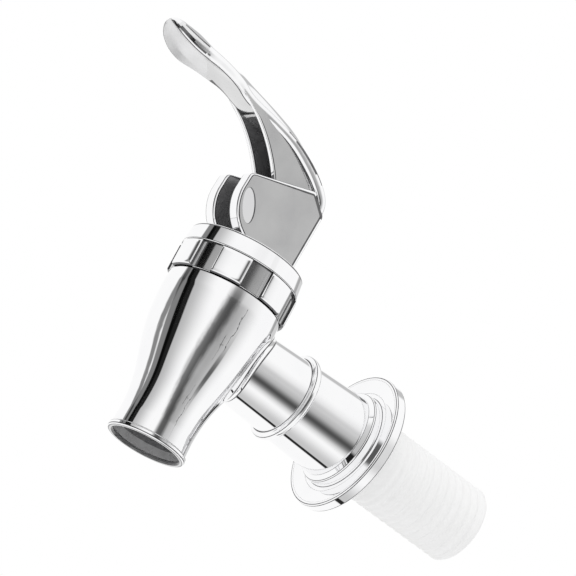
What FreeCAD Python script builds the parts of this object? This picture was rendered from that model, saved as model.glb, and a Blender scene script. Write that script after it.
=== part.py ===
import FreeCAD, Part
import math
import os
from FreeCAD import Vector

# Beverage dispenser spigot, millimetres. The shank runs along Y, the flange's rear face is y = 0,
# the threaded end points to +Y, and the barrel stands along Z in front of the flange.

# Threaded pipe, which goes through the wall of the dispenser
thread_r = 8.0
pipe_length = 29.2
pipe_bore_r = 4.5
pipe_lead = 0.8
sleeve_r = 6.35
sleeve_length = 28.4
shoulder_r = 8.7
shoulder_thickness = 1.1
groove_depth = 1.0
groove_width = 1.7
groove_back = 6.4

# Shank, its bead and the flange
shank_front_r = 7.45
shank_bead_side_r = 8.0
shank_rear_side_r = 8.2
shank_rear_r = 8.75
bead_r = 9.1
bead_y = -17.6
bead_half = 0.95
boss_r = 9.74
boss_front = 4.25
boss_rear = 3.05
flange_r = 14.23
flange_thickness = 2.3
flange_dish = 0.5
flange_rim = 0.5
body_blend = 0.7
blend_share = 0.25

# Barrel, measured from the shank's axis
barrel_reach = 38.8
barrel_top = 8.5
belly_swell = 0.15
belly_z = 6.1
barrel_top_r = 11.35
waist_r = 7.4
waist_z = -19.2
waist_pull = 0.42
belly_pull = 0.54
mouth_z = -23.35
lip_r = 7.85
lip_height = 1.0
lip_foot = 0.1
mouth_r = 6.75
mouth_depth = 3.7
spout_r = 4.9
spout_cone = 0.6
throat_r = 4.4
throat_z = -9.5
seat_z = -5.5
seat_lip = 0.8
seat_lip_width = 0.7
edge_break = 0.2
corner_share = 0.3

# Neck of the barrel and the bonnet that closes it
neck_step = 1.45
neck_wall = 1.9
neck_height = 5.1
bonnet_over = 0.15
bonnet_base_over = 0.6
bonnet_top = 17.8
bonnet_edge = 0.6
pad_over = 0.85
pad_top = 14.1
pad_count = 7
recess_angle = 20.5
bonnet_turn = 2.5
recess_under = 0.05
pad_round = 0.8
pad_sink = 0.4
stem_hole_gap = 0.2
thread_gap = 0.1
gasket_thickness = 0.8
bush_flange = 1.2

# Stem, its bush, its spring and its plug
stem_r = 1.9
running_gap = 0.06
head_round = 0.8
bush_hub_r = 4.6
bush_hub_length = 4.4
bush_nose_r = 2.7
bush_nose_length = 1.2
gland_depth = 1.1
gland_width = 1.4
gland_up = 1.5
stem_collar_r = 4.6
stem_collar = 1.2
stem_pilot_r = 2.9
stem_pilot = 1.4
pilot_cone = 0.4
plug_r = 5.6
plug_thickness = 3.1
plug_recess_r = 2.4
plug_recess = 1.2
plug_foot_break = 0.5
plug_top_break = 0.4
knob_r = 1.9
knob_height = 0.9
knob_neck_r = 1.2
knob_taper = 0.4
knob_rim = 0.3
spring_mean_r = 3.6
wire_r = 0.38
spring_halves = 13
closed_halves = 2
seat_gap = 0.02
ring_squeeze = 0.025

# Lever: distances run forward from the stem's axis and up from the bonnet's top
pin_up = 5.2
pin_r = 0.95
pin_length = 8.8
pin_socket = 2.0
socket_lead = 0.5
head_over_pin = 2.9
ear_half = 5.75
slot_half = 2.6
cam_forward = 2.3
cam_r = 8.2
ear_nose_up = 11.6
ear_nose_forward = 10.3
ear_rear = 6.8
ear_rear_top = 7.3
ear_rear_up = 13.2
ear_crest_back = 3.4
ear_crest_up = 16.3
web_thickness = 2.0
ear_round = 0.45
nose_round = 0.8
gusset_half_rear = 4.25
gusset_half_front = 3.6
gusset_tip_forward = 14.9
gusset_tip_up = 22.5
gusset_root_forward = 4.3
gusset_root_up = 13.4
gusset_mid_forward = 8.6
gusset_mid_up = 18.2
roof_lip = 0.3
arch_depth = 1.8
arch_over = 0.3
spine_drop = 0.2
oval_forward = 7.7
oval_up = 6.0
oval_long = 3.3
oval_short = 1.35
oval_tilt = 28.0
oval_depth = 0.2

# Handle stations: forward, up, half width, thickness, crown on top and hollow below
handle_stations = [
    (-6.2, 12.0, 5.6, 2.0, 0.05, 0.05),
    (-5.7, 15.3, 5.6, 2.0, 0.4, 0.3),
    (-3.2, 17.8, 5.45, 2.1, 0.9, 0.7),
    (0.5, 20.0, 5.1, 2.1, 1.5, 1.0),
    (4.9, 21.8, 4.7, 1.9, 2.0, 1.0),
    (9.8, 22.9, 4.1, 1.8, 2.2, 0.6),
    (15.9, 23.9, 3.2, 2.0, 2.2, -0.3),
    (19.6, 24.9, 3.7, 2.1, 1.7, -0.2),
    (22.5, 25.2, 4.4, 2.1, 1.2, 0.3),
    (25.8, 25.3, 5.0, 2.2, 1.4, 0.8),
    (29.3, 25.2, 5.5, 2.3, 1.8, 1.3),
    (32.0, 25.5, 5.1, 2.3, 2.0, 1.5),
    (34.4, 26.2, 4.2, 2.1, 1.6, 1.2),
    (36.0, 27.0, 3.0, 1.8, 1.1, 0.8),
    (37.2, 27.8, 1.4, 1.2, 0.4, 0.3),
]
edge_bulge = 0.3
root_sink = 3.5
rear_inset = 1.0
front_margin = 5.0
spine_cover = 10.0
front_room = 20.0
below_ears = 1.0
cut_over = 1.0
bead_room = 1.0
touch = 0.01

# Sizes that follow from the ones above
barrel_y = -barrel_reach
belly_r = barrel_top_r + belly_swell
neck_r = barrel_top_r - neck_step
chamber_r = neck_r - neck_wall
bonnet_r = barrel_top_r + bonnet_over
bonnet_base_r = barrel_top_r + bonnet_base_over
pad_r = barrel_top_r + pad_over
recess_r = barrel_top_r - recess_under
neck_top = barrel_top + neck_height
bonnet_bore_r = neck_r + thread_gap
gasket_top = neck_top + gasket_thickness
clamp_z = gasket_top + bush_flange
chamber_floor = seat_z - seat_lip
passage_end = -sleeve_length - seat_gap
plug_top = seat_z + plug_thickness
collar_top = plug_top + stem_collar
hub_bottom = gasket_top - bush_hub_length
pin_z = bonnet_top + pin_up
cam_up = cam_r
x_axis = Vector(1, 0, 0)
y_axis = Vector(0, 1, 0)
z_axis = Vector(0, 0, 1)
barrel_foot = Vector(0, barrel_y, 0)


def upright(points):
    """Solid of revolution about the barrel's axis, from (radius, z) points."""
    corners = [Vector(r, barrel_y, z) for r, z in points]
    face = Part.Face(Part.makePolygon(corners + corners[:1]))
    return face.revolve(barrel_foot, z_axis, 360)


def along_shank(points):
    """Solid of revolution about the shank's axis, from (radius, y) points."""
    corners = [Vector(r, y, 0) for r, y in points]
    face = Part.Face(Part.makePolygon(corners + corners[:1]))
    return face.revolve(Vector(0, 0, 0), y_axis, 360)


def torus_on_stem(mean_r, section_r, z):
    return Part.makeTorus(mean_r, section_r, Vector(0, barrel_y, z), z_axis)


def line(a, b):
    return Part.LineSegment(a, b).toShape()


def arc(a, mid, b):
    return Part.Arc(a, mid, b).toShape()


def barrel_outside():
    """Barrel with its swelling belly, waist and rolled lip, before it is hollowed."""
    def at(r, z):
        return Vector(r, barrel_y, z)

    rise = belly_z - waist_z
    swell = Part.BezierCurve()
    swell.setPoles([at(waist_r, waist_z), at(waist_r, waist_z + waist_pull * rise),
                    at(belly_r, belly_z - belly_pull * rise), at(belly_r, belly_z)])
    lip_top = mouth_z + lip_height
    lip_root_r = waist_r + lip_foot
    lip_mid = mouth_z + lip_height / 2
    outline = [
        line(at(0, mouth_z), at(lip_root_r, mouth_z)),
        arc(at(lip_root_r, mouth_z), at(lip_r, lip_mid), at(lip_root_r, lip_top)),
        line(at(lip_root_r, lip_top), at(waist_r, waist_z)),
        swell.toShape(),
        line(at(belly_r, belly_z), at(barrel_top_r, barrel_top - edge_break)),
        line(at(barrel_top_r, barrel_top - edge_break), at(barrel_top_r - edge_break, barrel_top)),
        line(at(barrel_top_r - edge_break, barrel_top), at(neck_r, barrel_top)),
        line(at(neck_r, barrel_top), at(neck_r, neck_top)),
        line(at(neck_r, neck_top), at(0, neck_top)),
        line(at(0, neck_top), at(0, mouth_z)),
    ]
    face = Part.Face(Part.Wire(outline))
    return face.revolve(barrel_foot, z_axis, 360)


def shank_outside():
    """Shank with its bead, boss ring and dished flange."""
    def at(r, y):
        return Vector(r, y, 0)

    bead_start = bead_y - bead_half
    bead_end = bead_y + bead_half
    face_y = -flange_thickness
    rim_in = flange_r - flange_rim
    rim_break = flange_rim * corner_share
    outline = [
        line(at(0, barrel_y), at(shank_front_r, barrel_y)),
        line(at(shank_front_r, barrel_y), at(shank_bead_side_r, bead_start)),
        arc(at(shank_bead_side_r, bead_start), at(bead_r, bead_y), at(shank_rear_side_r, bead_end)),
        line(at(shank_rear_side_r, bead_end), at(shank_rear_r, -boss_front)),
        line(at(shank_rear_r, -boss_front), at(boss_r, -boss_rear)),
        arc(at(boss_r, -boss_rear), at(boss_r + flange_dish, face_y + flange_dish / 2),
            at(boss_r + 2 * flange_dish, face_y + flange_dish)),
        line(at(boss_r + 2 * flange_dish, face_y + flange_dish), at(rim_in, face_y)),
        arc(at(rim_in, face_y), at(flange_r - rim_break, face_y + rim_break),
            at(flange_r, face_y + flange_rim)),
        line(at(flange_r, face_y + flange_rim), at(flange_r, -edge_break)),
        line(at(flange_r, -edge_break), at(flange_r - edge_break, 0)),
        line(at(flange_r - edge_break, 0), at(0, 0)),
        line(at(0, 0), at(0, barrel_y)),
    ]
    face = Part.Face(Part.Wire(outline))
    return face.revolve(Vector(0, 0, 0), y_axis, 360)


def blend_shank_to_barrel(shape):
    """Rounds the inner corner where the shank runs into the barrel."""
    corner = []
    for edge in shape.Edges:
        box = edge.BoundBox
        near_barrel = barrel_y < box.YMin and box.YMax < bead_y - bead_half - bead_room
        across = box.XLength > shank_front_r and box.ZLength > shank_front_r
        curved = box.YLength > edge_break
        if near_barrel and across and curved:
            corner.append(edge)
    return shape.makeFillet(min(body_blend, (barrel_top_r - shank_front_r) * blend_share), corner)


def valve_body():
    outside = barrel_outside().fuse(shank_outside()).removeSplitter()
    outside = blend_shank_to_barrel(outside)
    lip_out_r = throat_r + seat_lip_width
    chamber = upright([
        (0, chamber_floor), (chamber_r, chamber_floor), (chamber_r, neck_top + cut_over),
        (0, neck_top + cut_over),
    ])
    lip = upright([
        (0, chamber_floor - cut_over), (lip_out_r, chamber_floor - cut_over), (lip_out_r, seat_z),
        (0, seat_z),
    ])
    mouth_top = mouth_z + mouth_depth
    spout = upright([
        (0, mouth_z - cut_over), (mouth_r + edge_break + cut_over, mouth_z - cut_over),
        (mouth_r, mouth_z + edge_break),
        (mouth_r, mouth_top), (spout_r, mouth_top + spout_cone), (throat_r, throat_z),
        (throat_r, seat_z + cut_over), (0, seat_z + cut_over),
    ])
    bore_r = sleeve_r + seat_gap
    recess_side = shoulder_r + seat_gap
    recess_floor = -shoulder_thickness - seat_gap
    shank_bore = along_shank([
        (0, cut_over), (recess_side, cut_over), (recess_side, recess_floor), (bore_r, recess_floor),
        (bore_r, passage_end), (0, passage_end),
    ])
    passage = along_shank([
        (0, passage_end + cut_over), (pipe_bore_r, passage_end + cut_over),
        (pipe_bore_r, barrel_y + plug_r), (0, barrel_y + plug_r),
    ])
    hollow = outside.cut(chamber).fuse(lip)
    return hollow.cut(spout).cut(shank_bore).cut(passage).removeSplitter()


def threaded_pipe():
    """Plastic pipe: its sleeve lies in the shank, its shoulder in the flange and its end has the thread."""
    groove_rear = -groove_back + groove_width
    tube = along_shank([
        (pipe_bore_r, -sleeve_length), (sleeve_r - edge_break, -sleeve_length),
        (sleeve_r, -sleeve_length + edge_break),
        (sleeve_r, -groove_back), (sleeve_r - groove_depth, -groove_back),
        (sleeve_r - groove_depth, groove_rear), (sleeve_r, groove_rear),
        (sleeve_r, -shoulder_thickness), (shoulder_r, -shoulder_thickness), (shoulder_r, 0),
        (thread_r, 0), (thread_r, pipe_length - pipe_lead), (thread_r - pipe_lead, pipe_length),
        (pipe_bore_r, pipe_length),
    ])
    return tube


def pipe_oring():
    room = groove_depth + seat_gap
    section_r = room / 2 - ring_squeeze
    mean_r = sleeve_r + seat_gap - room / 2
    middle = -groove_back + groove_width / 2
    return Part.makeTorus(mean_r, section_r, Vector(0, middle, 0), y_axis)


def bonnet():
    """Cap over the neck, with raised grip pads and the hole for the stem."""
    hole_r = stem_r + stem_hole_gap
    core = upright([
        (bonnet_bore_r, barrel_top), (recess_r - edge_break, barrel_top),
        (recess_r, barrel_top + edge_break), (recess_r, pad_top), (bonnet_base_r, pad_top),
        (bonnet_r, bonnet_top - bonnet_edge),
        (bonnet_r - bonnet_edge * corner_share, bonnet_top - bonnet_edge * corner_share),
        (bonnet_r - bonnet_edge, bonnet_top), (hole_r, bonnet_top), (hole_r, clamp_z),
        (bonnet_bore_r, clamp_z),
    ])
    pad_angle = 360 / pad_count - recess_angle
    height = pad_top - barrel_top
    inner = recess_r - pad_sink
    foot = Vector(0, barrel_y, barrel_top)
    ring = Part.makeCylinder(pad_r, height, foot, z_axis, pad_angle)
    pad = ring.cut(Part.makeCylinder(inner, height, foot, z_axis))
    face_edges = [edge for edge in pad.Edges if lies_on_radius(edge, pad_r)]
    pad = pad.makeFillet(pad_round, face_edges)
    first = 90 + recess_angle / 2 + bonnet_turn
    for index in range(pad_count):
        turned = pad.copy()
        turned.rotate(barrel_foot, z_axis, first + index * 360 / pad_count)
        core = core.fuse(turned)
    return core.removeSplitter()


def lies_on_radius(edge, radius):
    """True where both ends and the middle of an edge are at this radius from the barrel's axis."""
    middle = edge.valueAt((edge.FirstParameter + edge.LastParameter) / 2)
    places = [edge.Vertexes[0].Point, edge.Vertexes[-1].Point, middle]
    return all(abs(math.hypot(p.x, p.y - barrel_y) - radius) < touch for p in places)


def bonnet_gasket():
    return upright([
        (chamber_r + seat_gap, neck_top), (neck_r, neck_top), (neck_r, gasket_top),
        (chamber_r + seat_gap, gasket_top),
    ])


def guide_bush():
    """Flanged bush that guides the stem, holds its seal and seats the spring."""
    bore_r = stem_r + running_gap
    gland_r = stem_r + gland_depth
    gland_low = hub_bottom + gland_up
    return upright([
        (bore_r, hub_bottom - bush_nose_length), (bush_nose_r, hub_bottom - bush_nose_length),
        (bush_nose_r, hub_bottom), (bush_hub_r, hub_bottom), (bush_hub_r, gasket_top),
        (neck_r, gasket_top), (neck_r, clamp_z), (bore_r, clamp_z),
        (bore_r, gland_low + gland_width), (gland_r, gland_low + gland_width),
        (gland_r, gland_low), (bore_r, gland_low),
    ])


def stem_oring():
    section_r = gland_depth / 2 - ring_squeeze
    middle = hub_bottom + gland_up + gland_width / 2
    return torus_on_stem(stem_r + gland_depth / 2, section_r, middle)


def stem():
    """Plunger: a knob for the plug, a collar for the spring and a head for the pin."""
    knob_foot = seat_z + plug_recess - knob_height
    knob_top = seat_z + plug_recess
    head_top = pin_z + head_over_pin
    turned = upright([
        (0, knob_foot), (knob_r - knob_taper, knob_foot), (knob_r, knob_top - knob_rim), (knob_r, knob_top),
        (knob_neck_r, knob_top), (knob_neck_r, plug_top), (stem_collar_r, plug_top),
        (stem_collar_r, collar_top), (stem_pilot_r, collar_top),
        (stem_pilot_r, collar_top + stem_pilot), (stem_r, collar_top + stem_pilot + pilot_cone),
        (stem_r, head_top - head_round),
        (stem_r - corner_share * head_round, head_top - corner_share * head_round),
        (stem_r - head_round, head_top), (0, head_top),
    ])
    hole = Part.makeCylinder(pin_r + seat_gap, 4 * stem_r, Vector(-2 * stem_r, barrel_y, pin_z), x_axis)
    return turned.cut(hole)


def seat_plug():
    """Soft plug that closes the throat, buttoned over the knob of the stem."""
    hole_r = knob_neck_r + seat_gap
    return upright([
        (plug_recess_r, seat_z), (plug_r - plug_foot_break, seat_z), (plug_r, seat_z + plug_foot_break),
        (plug_r, plug_top - plug_top_break), (plug_r - plug_top_break, plug_top), (hole_r, plug_top),
        (hole_r, seat_z + plug_recess), (plug_recess_r, seat_z + plug_recess),
    ])


def spring():
    """Coil of tilted half turns, open in its middle and closed at both ends."""
    foot = collar_top + wire_r + seat_gap
    length = hub_bottom - wire_r - seat_gap - foot
    closed_rise = wire_r + seat_gap
    open_halves = spring_halves - 2 * closed_halves
    open_rise = (length - 2 * closed_halves * closed_rise) / open_halves
    closed = [closed_rise] * closed_halves
    rises = closed + [open_rise] * open_halves + closed
    halves = []
    low = foot
    side = 1
    for rise in rises:
        start = Vector(side * spring_mean_r, barrel_y, low)
        middle = Vector(0, barrel_y + side * math.hypot(spring_mean_r, rise / 2), low + rise / 2)
        end = Vector(-side * spring_mean_r, barrel_y, low + rise)
        halves.append(arc(start, middle, end))
        low += rise
        side = -side
    section = Part.Wire(Part.makeCircle(wire_r, Vector(spring_mean_r, barrel_y, foot), y_axis))
    return Part.Wire(halves).makePipeShell([section], True, False)


def lever_pin():
    return Part.makeCylinder(pin_r, pin_length, Vector(-pin_length / 2, barrel_y, pin_z), x_axis)


def spot(forward, up, x=0.0):
    """Point of the lever, from its distances forward of the stem and up from the bonnet."""
    return Vector(x, barrel_y - forward, bonnet_top + up)


def handle_section(index):
    """Closed outline of the handle at one station, square to the way the handle runs."""
    forward, up, half, thick, crown, hollow = handle_stations[index]
    before = handle_stations[max(index - 1, 0)]
    after = handle_stations[min(index + 1, len(handle_stations) - 1)]
    run = (spot(after[0], after[1]) - spot(before[0], before[1])).normalize()
    if index == 0:
        run = Vector(0, 0, 1)
    out = Vector(0, run.z, -run.y)
    middle = spot(forward, up)

    def at(x, height):
        return middle + Vector(x, 0, 0) + out * height

    side = half - edge_bulge
    top = thick / 2
    return Part.Wire([
        arc(at(-side, top), at(0, top + crown), at(side, top)),
        arc(at(side, top), at(half, 0), at(side, -top)),
        arc(at(side, -top), at(0, hollow - top), at(-side, -top)),
        arc(at(-side, -top), at(-half, 0), at(-side, top)),
    ])


def handle():
    """Spine, neck and thumb paddle, one crowned strip that follows the stations."""
    sections = [handle_section(index) for index in range(len(handle_stations))]
    return Part.makeLoft(sections, True, False)


def plate(outline_edges, half):
    """Plate of the given outline, as wide on either side of the middle plane."""
    face = Part.Face(Part.Wire(outline_edges))
    solid = face.extrude(Vector(2 * half, 0, 0))
    solid.translate(Vector(-half, 0, 0))
    return solid


def chain(points):
    """Straight edges from point to point."""
    return [line(a, b) for a, b in zip(points, points[1:])]


def ear_block():
    """Both ears and the web between them, with the cam that rolls on the bonnet."""
    cam_front = spot(cam_forward + cam_r, cam_up)
    cam_low = spot(cam_forward, 0)
    cam_side = cam_r * math.sqrt(0.5)
    cam_mid = spot(cam_forward + cam_side, cam_up - cam_side)
    nose = spot(ear_nose_forward, ear_nose_up)
    crest = spot(-ear_crest_back, ear_crest_up)
    rear_top = spot(-ear_rear_top, ear_rear_up)
    rear_low = spot(-ear_rear, 0)
    outline = [arc(cam_low, cam_mid, cam_front)]
    outline += chain([cam_front, nose, crest, rear_top, rear_low, cam_low])
    block = plate(outline, ear_half)
    nose_edge = [edge for edge in block.Edges if runs_across(edge, nose)]
    block = block.makeFillet(nose_round, nose_edge)
    rims = [edge for edge in block.Edges if edge.BoundBox.XLength < touch]
    return block.makeFillet(ear_round, rims)


def runs_across(edge, place):
    """True for an edge along X that passes through a place in the side view."""
    box = edge.BoundBox
    return box.XLength > ear_half and abs(box.YMin - place.y) < touch and abs(box.ZMin - place.z) < touch


def underside_curve(drop):
    """Smooth line under the spine, a given distance below the middle of the strip."""
    places = []
    for index in range(0, 8):
        before = handle_stations[max(index - 1, 0)]
        after = handle_stations[index + 1]
        run = (spot(after[0], after[1]) - spot(before[0], before[1])).normalize()
        if index == 0:
            run = Vector(0, 0, 1)
        out = Vector(0, run.z, -run.y)
        places.append(spot(*handle_stations[index][:2]) - out * drop)
    curve = Part.BSplineCurve()
    curve.interpolate(places)
    return curve.toShape(), places[0], places[-1]


def gusset_block():
    """Deep rib under the spine, before the channel leaves its two side walls."""
    spine, low, high = underside_curve(spine_drop)
    root = spot(gusset_root_forward, gusset_root_up)
    belly = spot(gusset_mid_forward, gusset_mid_up)
    tip = spot(gusset_tip_forward, gusset_tip_up)
    sunk = spot(gusset_root_forward, gusset_root_up - root_sink)
    rear = spot(-ear_rear + rear_inset, gusset_root_up - root_sink)
    outline = [spine, line(high, tip), arc(tip, belly, root)] + chain([root, sunk, rear, low])
    rib = plate(outline, gusset_half_rear)
    rear_y = spot(-ear_rear_top, 0).y
    front_y = spot(gusset_tip_forward, 0).y
    floor = bonnet_top
    corners = [Vector(gusset_half_rear, rear_y, floor), Vector(gusset_half_front, front_y, floor),
               Vector(gusset_half_front, front_y - front_margin, floor),
               Vector(-gusset_half_front, front_y - front_margin, floor),
               Vector(-gusset_half_front, front_y, floor), Vector(-gusset_half_rear, rear_y, floor)]
    wedge_face = Part.Face(Part.makePolygon(corners + corners[:1]))
    wedge = wedge_face.extrude(Vector(0, 0, gusset_tip_up + spine_cover))
    arch_half = slot_half + arch_over
    arch_r = (arch_half ** 2 + arch_depth ** 2) / (2 * arch_depth)
    arch_foot = Vector(0, front_y + arch_depth - arch_r, floor + gusset_root_up)
    arch = Part.makeCylinder(arch_r, gusset_tip_up, arch_foot, z_axis)
    return rib.common(wedge).cut(arch)


def channel():
    """Room between the ears and between the walls under the spine."""
    roof, low, high = underside_curve(handle_stations[0][3] / 2 + roof_lip)
    web_front = -ear_rear + web_thickness
    floor_rear = spot(web_front, -below_ears)
    floor_front = spot(gusset_tip_forward + front_room, -below_ears)
    front_top = spot(gusset_tip_forward + front_room, high.z - bonnet_top)
    outline = [roof] + chain([high, front_top, floor_front, floor_rear, low])
    return plate(outline, slot_half)


def lever():
    body = ear_block().fuse(gusset_block()).fuse(handle())
    body = body.cut(channel())
    for side in (-1, 1):
        socket_start = side * (slot_half - socket_lead)
        socket_end = side * (slot_half + pin_socket)
        low = min(socket_start, socket_end)
        socket = Part.makeCylinder(pin_r + running_gap, abs(socket_end - socket_start),
                                   Vector(low, barrel_y, pin_z), x_axis)
        body = body.cut(socket).cut(oval_mark(side))
    return body.removeSplitter()


def oval_mark(side):
    """Cutter for the shallow oval in the outer face of an ear."""
    centre = spot(oval_forward, oval_up, side * (ear_half - oval_depth))
    tilt = math.radians(oval_tilt)
    long_way = Vector(0, -math.sin(tilt), math.cos(tilt))
    short_way = Vector(0, math.cos(tilt), math.sin(tilt))
    oval = Part.Ellipse(centre + long_way * oval_long, centre + short_way * oval_short, centre)
    face = Part.Face(Part.Wire(oval.toShape()))
    return face.extrude(Vector(side, 0, 0))


pieces = {
    "valve_body": valve_body,
    "threaded_pipe": threaded_pipe,
    "pipe_oring": pipe_oring,
    "bonnet": bonnet,
    "bonnet_gasket": bonnet_gasket,
    "guide_bush": guide_bush,
    "stem_oring": stem_oring,
    "spring": spring,
    "stem": stem,
    "seat_plug": seat_plug,
    "lever": lever,
    "lever_pin": lever_pin,
}
os.makedirs("parts", exist_ok=True)
for name, make in pieces.items():
    shape = make()
    print(name, shape.ShapeType, len(shape.Solids), shape.isValid(), round(shape.Volume, 1))
    shape.exportStep("parts/" + name + ".step")
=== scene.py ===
import math
import time

import bmesh
import bpy
from mathutils import Matrix, Vector


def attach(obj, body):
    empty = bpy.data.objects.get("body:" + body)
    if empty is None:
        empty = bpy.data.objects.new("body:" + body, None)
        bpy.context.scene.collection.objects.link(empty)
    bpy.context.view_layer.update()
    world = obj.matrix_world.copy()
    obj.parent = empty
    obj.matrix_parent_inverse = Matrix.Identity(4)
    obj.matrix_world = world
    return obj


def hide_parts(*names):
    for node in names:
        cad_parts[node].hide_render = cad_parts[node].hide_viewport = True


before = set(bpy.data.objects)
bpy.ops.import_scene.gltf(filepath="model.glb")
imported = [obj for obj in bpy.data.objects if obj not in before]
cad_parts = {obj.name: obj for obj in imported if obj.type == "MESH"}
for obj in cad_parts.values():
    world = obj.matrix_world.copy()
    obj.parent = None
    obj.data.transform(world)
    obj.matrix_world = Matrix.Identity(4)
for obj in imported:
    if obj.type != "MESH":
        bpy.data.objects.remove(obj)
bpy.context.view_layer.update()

# Beverage dispenser spigot. Outlines below are in millimetres, and a mesh is scaled to metres when it is made.
startTime = time.time()
mm = 0.001
barrelY = -38.8


def report(stage):
    print(f"{stage}, {time.time() - startTime:.1f} s")


class Wire:  # a shader socket that works in plain arithmetic
    def __init__(self, tree, socket=None):
        self.tree = tree
        self.socket = socket

    def node(self, kind, settings=None, sockets=None, output=0):
        made = self.tree.nodes.new(kind)
        for name, value in (settings or {}).items():
            setattr(made, name, value)
        for name, value in (sockets or {}).items():
            if isinstance(value, Wire):
                self.tree.links.new(value.socket, made.inputs[name])
            else:
                made.inputs[name].default_value = value
        return Wire(self.tree, made.outputs[output] if made.outputs else None)

    def other(self, output):  # another output of the same node
        return Wire(self.tree, self.socket.node.outputs[output])

    def maths(self, operation, first, second=0.0):
        return self.node("ShaderNodeMath", {"operation": operation}, {0: first, 1: second})

    def __add__(self, other):
        return self.maths("ADD", self, other)

    def __radd__(self, other):
        return self.maths("ADD", other, self)

    def __sub__(self, other):
        return self.maths("SUBTRACT", self, other)

    def __rsub__(self, other):
        return self.maths("SUBTRACT", other, self)

    def __mul__(self, other):
        return self.maths("MULTIPLY", self, other)

    def __rmul__(self, other):
        return self.maths("MULTIPLY", other, self)

    def __abs__(self):
        return self.maths("ABSOLUTE", self)

    def rise(self, low, high, start=0.0, end=1.0):  # smooth step from start to end
        sockets = {0: self, 1: low, 2: high, 3: start, 4: end}
        return self.node("ShaderNodeMapRange", {"interpolation_type": "SMOOTHSTEP"}, sockets)

    def fall(self, low, high):
        return self.rise(low, high, 1.0, 0.0)

    def band(self, centre, half, blur):  # 1 inside a band and 0 past its blurred borders
        return abs(self - centre).fall(half, half + blur)


def newMaterial(name):
    material = bpy.data.materials.new(name)
    material.use_nodes = True
    tree = material.node_tree
    tree.nodes.clear()
    return material, Wire(tree)


def finishMaterial(material, wire, principled, normal=None):
    sockets = dict(principled)
    if normal is not None:
        sockets["Normal"] = normal
    shader = wire.node("ShaderNodeBsdfPrincipled", {}, sockets)
    wire.node("ShaderNodeOutputMaterial", {}, {"Surface": shader})
    return material


def noise(wire, place, scale, detail):
    return wire.node("ShaderNodeTexNoise", {}, {"Vector": place, "Scale": scale, "Detail": detail})


def bumpOf(wire, height, distance):
    return wire.node("ShaderNodeBump", {}, {"Height": height, "Distance": distance, "Strength": 1.0})


def wornColour(wire, mask, look):  # sockets 6 and 7 are the two colours
    sockets = {"Factor": mask, 6: look["colour"], 7: look["colourWorn"]}
    return wire.node("ShaderNodeMix", {"data_type": "RGBA"}, sockets, 2)


noiseSpan = (0.3, 0.7)  # a noise seldom leaves this span
smearSpan = (0.35, 0.75)
wearSpan = (0.3, 0.8)


def chromePlate(name, look):  # bright plating with faint moulding waves under it
    material, wire = newMaterial(name)
    place = wire.node("ShaderNodeTexCoord", output="Object")
    wave = noise(wire, place, look["waveScale"], 1.0)
    smear = noise(wire, place, look["smearScale"], 3.0)
    sockets = {"Base Color": wornColour(wire, smear.rise(*wearSpan), look),
               "Roughness": smear.rise(*smearSpan, look["roughLow"], look["roughHigh"]),
               "Metallic": look.get("metallic", 1.0)}
    return finishMaterial(material, wire, sockets, bumpOf(wire, wave, look["waveHeight"]))


def plastic(name, look):  # moulded plastic or soft seal, with faint mottling
    material, wire = newMaterial(name)
    place = wire.node("ShaderNodeTexCoord", output="Object")
    mottle = noise(wire, place, look["mottleScale"], 4.0)
    grain = noise(wire, place, look["grainScale"], 2.0)
    sockets = {"Base Color": wornColour(wire, mottle.rise(*noiseSpan), look),
               "Roughness": mottle.rise(*noiseSpan, look["roughLow"], look["roughHigh"]),
               "IOR": look["ior"], "Subsurface Weight": look["glow"], "Subsurface Scale": look["glowScale"]}
    return finishMaterial(material, wire, sockets, bumpOf(wire, grain, look["grainHeight"]))


def drawnSteel(name, look):  # wire and rod with fine lines along X
    material, wire = newMaterial(name)
    place = wire.node("ShaderNodeTexCoord", output="Object")
    stretched = wire.node("ShaderNodeMapping", {}, {"Vector": place, "Scale": look["lineStretch"]})
    lines = noise(wire, stretched, look["lineScale"], 3.0)
    sockets = {"Base Color": look["colour"], "Metallic": 1.0,
               "Roughness": lines.rise(*noiseSpan, look["roughLow"], look["roughHigh"])}
    return finishMaterial(material, wire, sockets, bumpOf(wire, lines, look["lineHeight"]))


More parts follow.
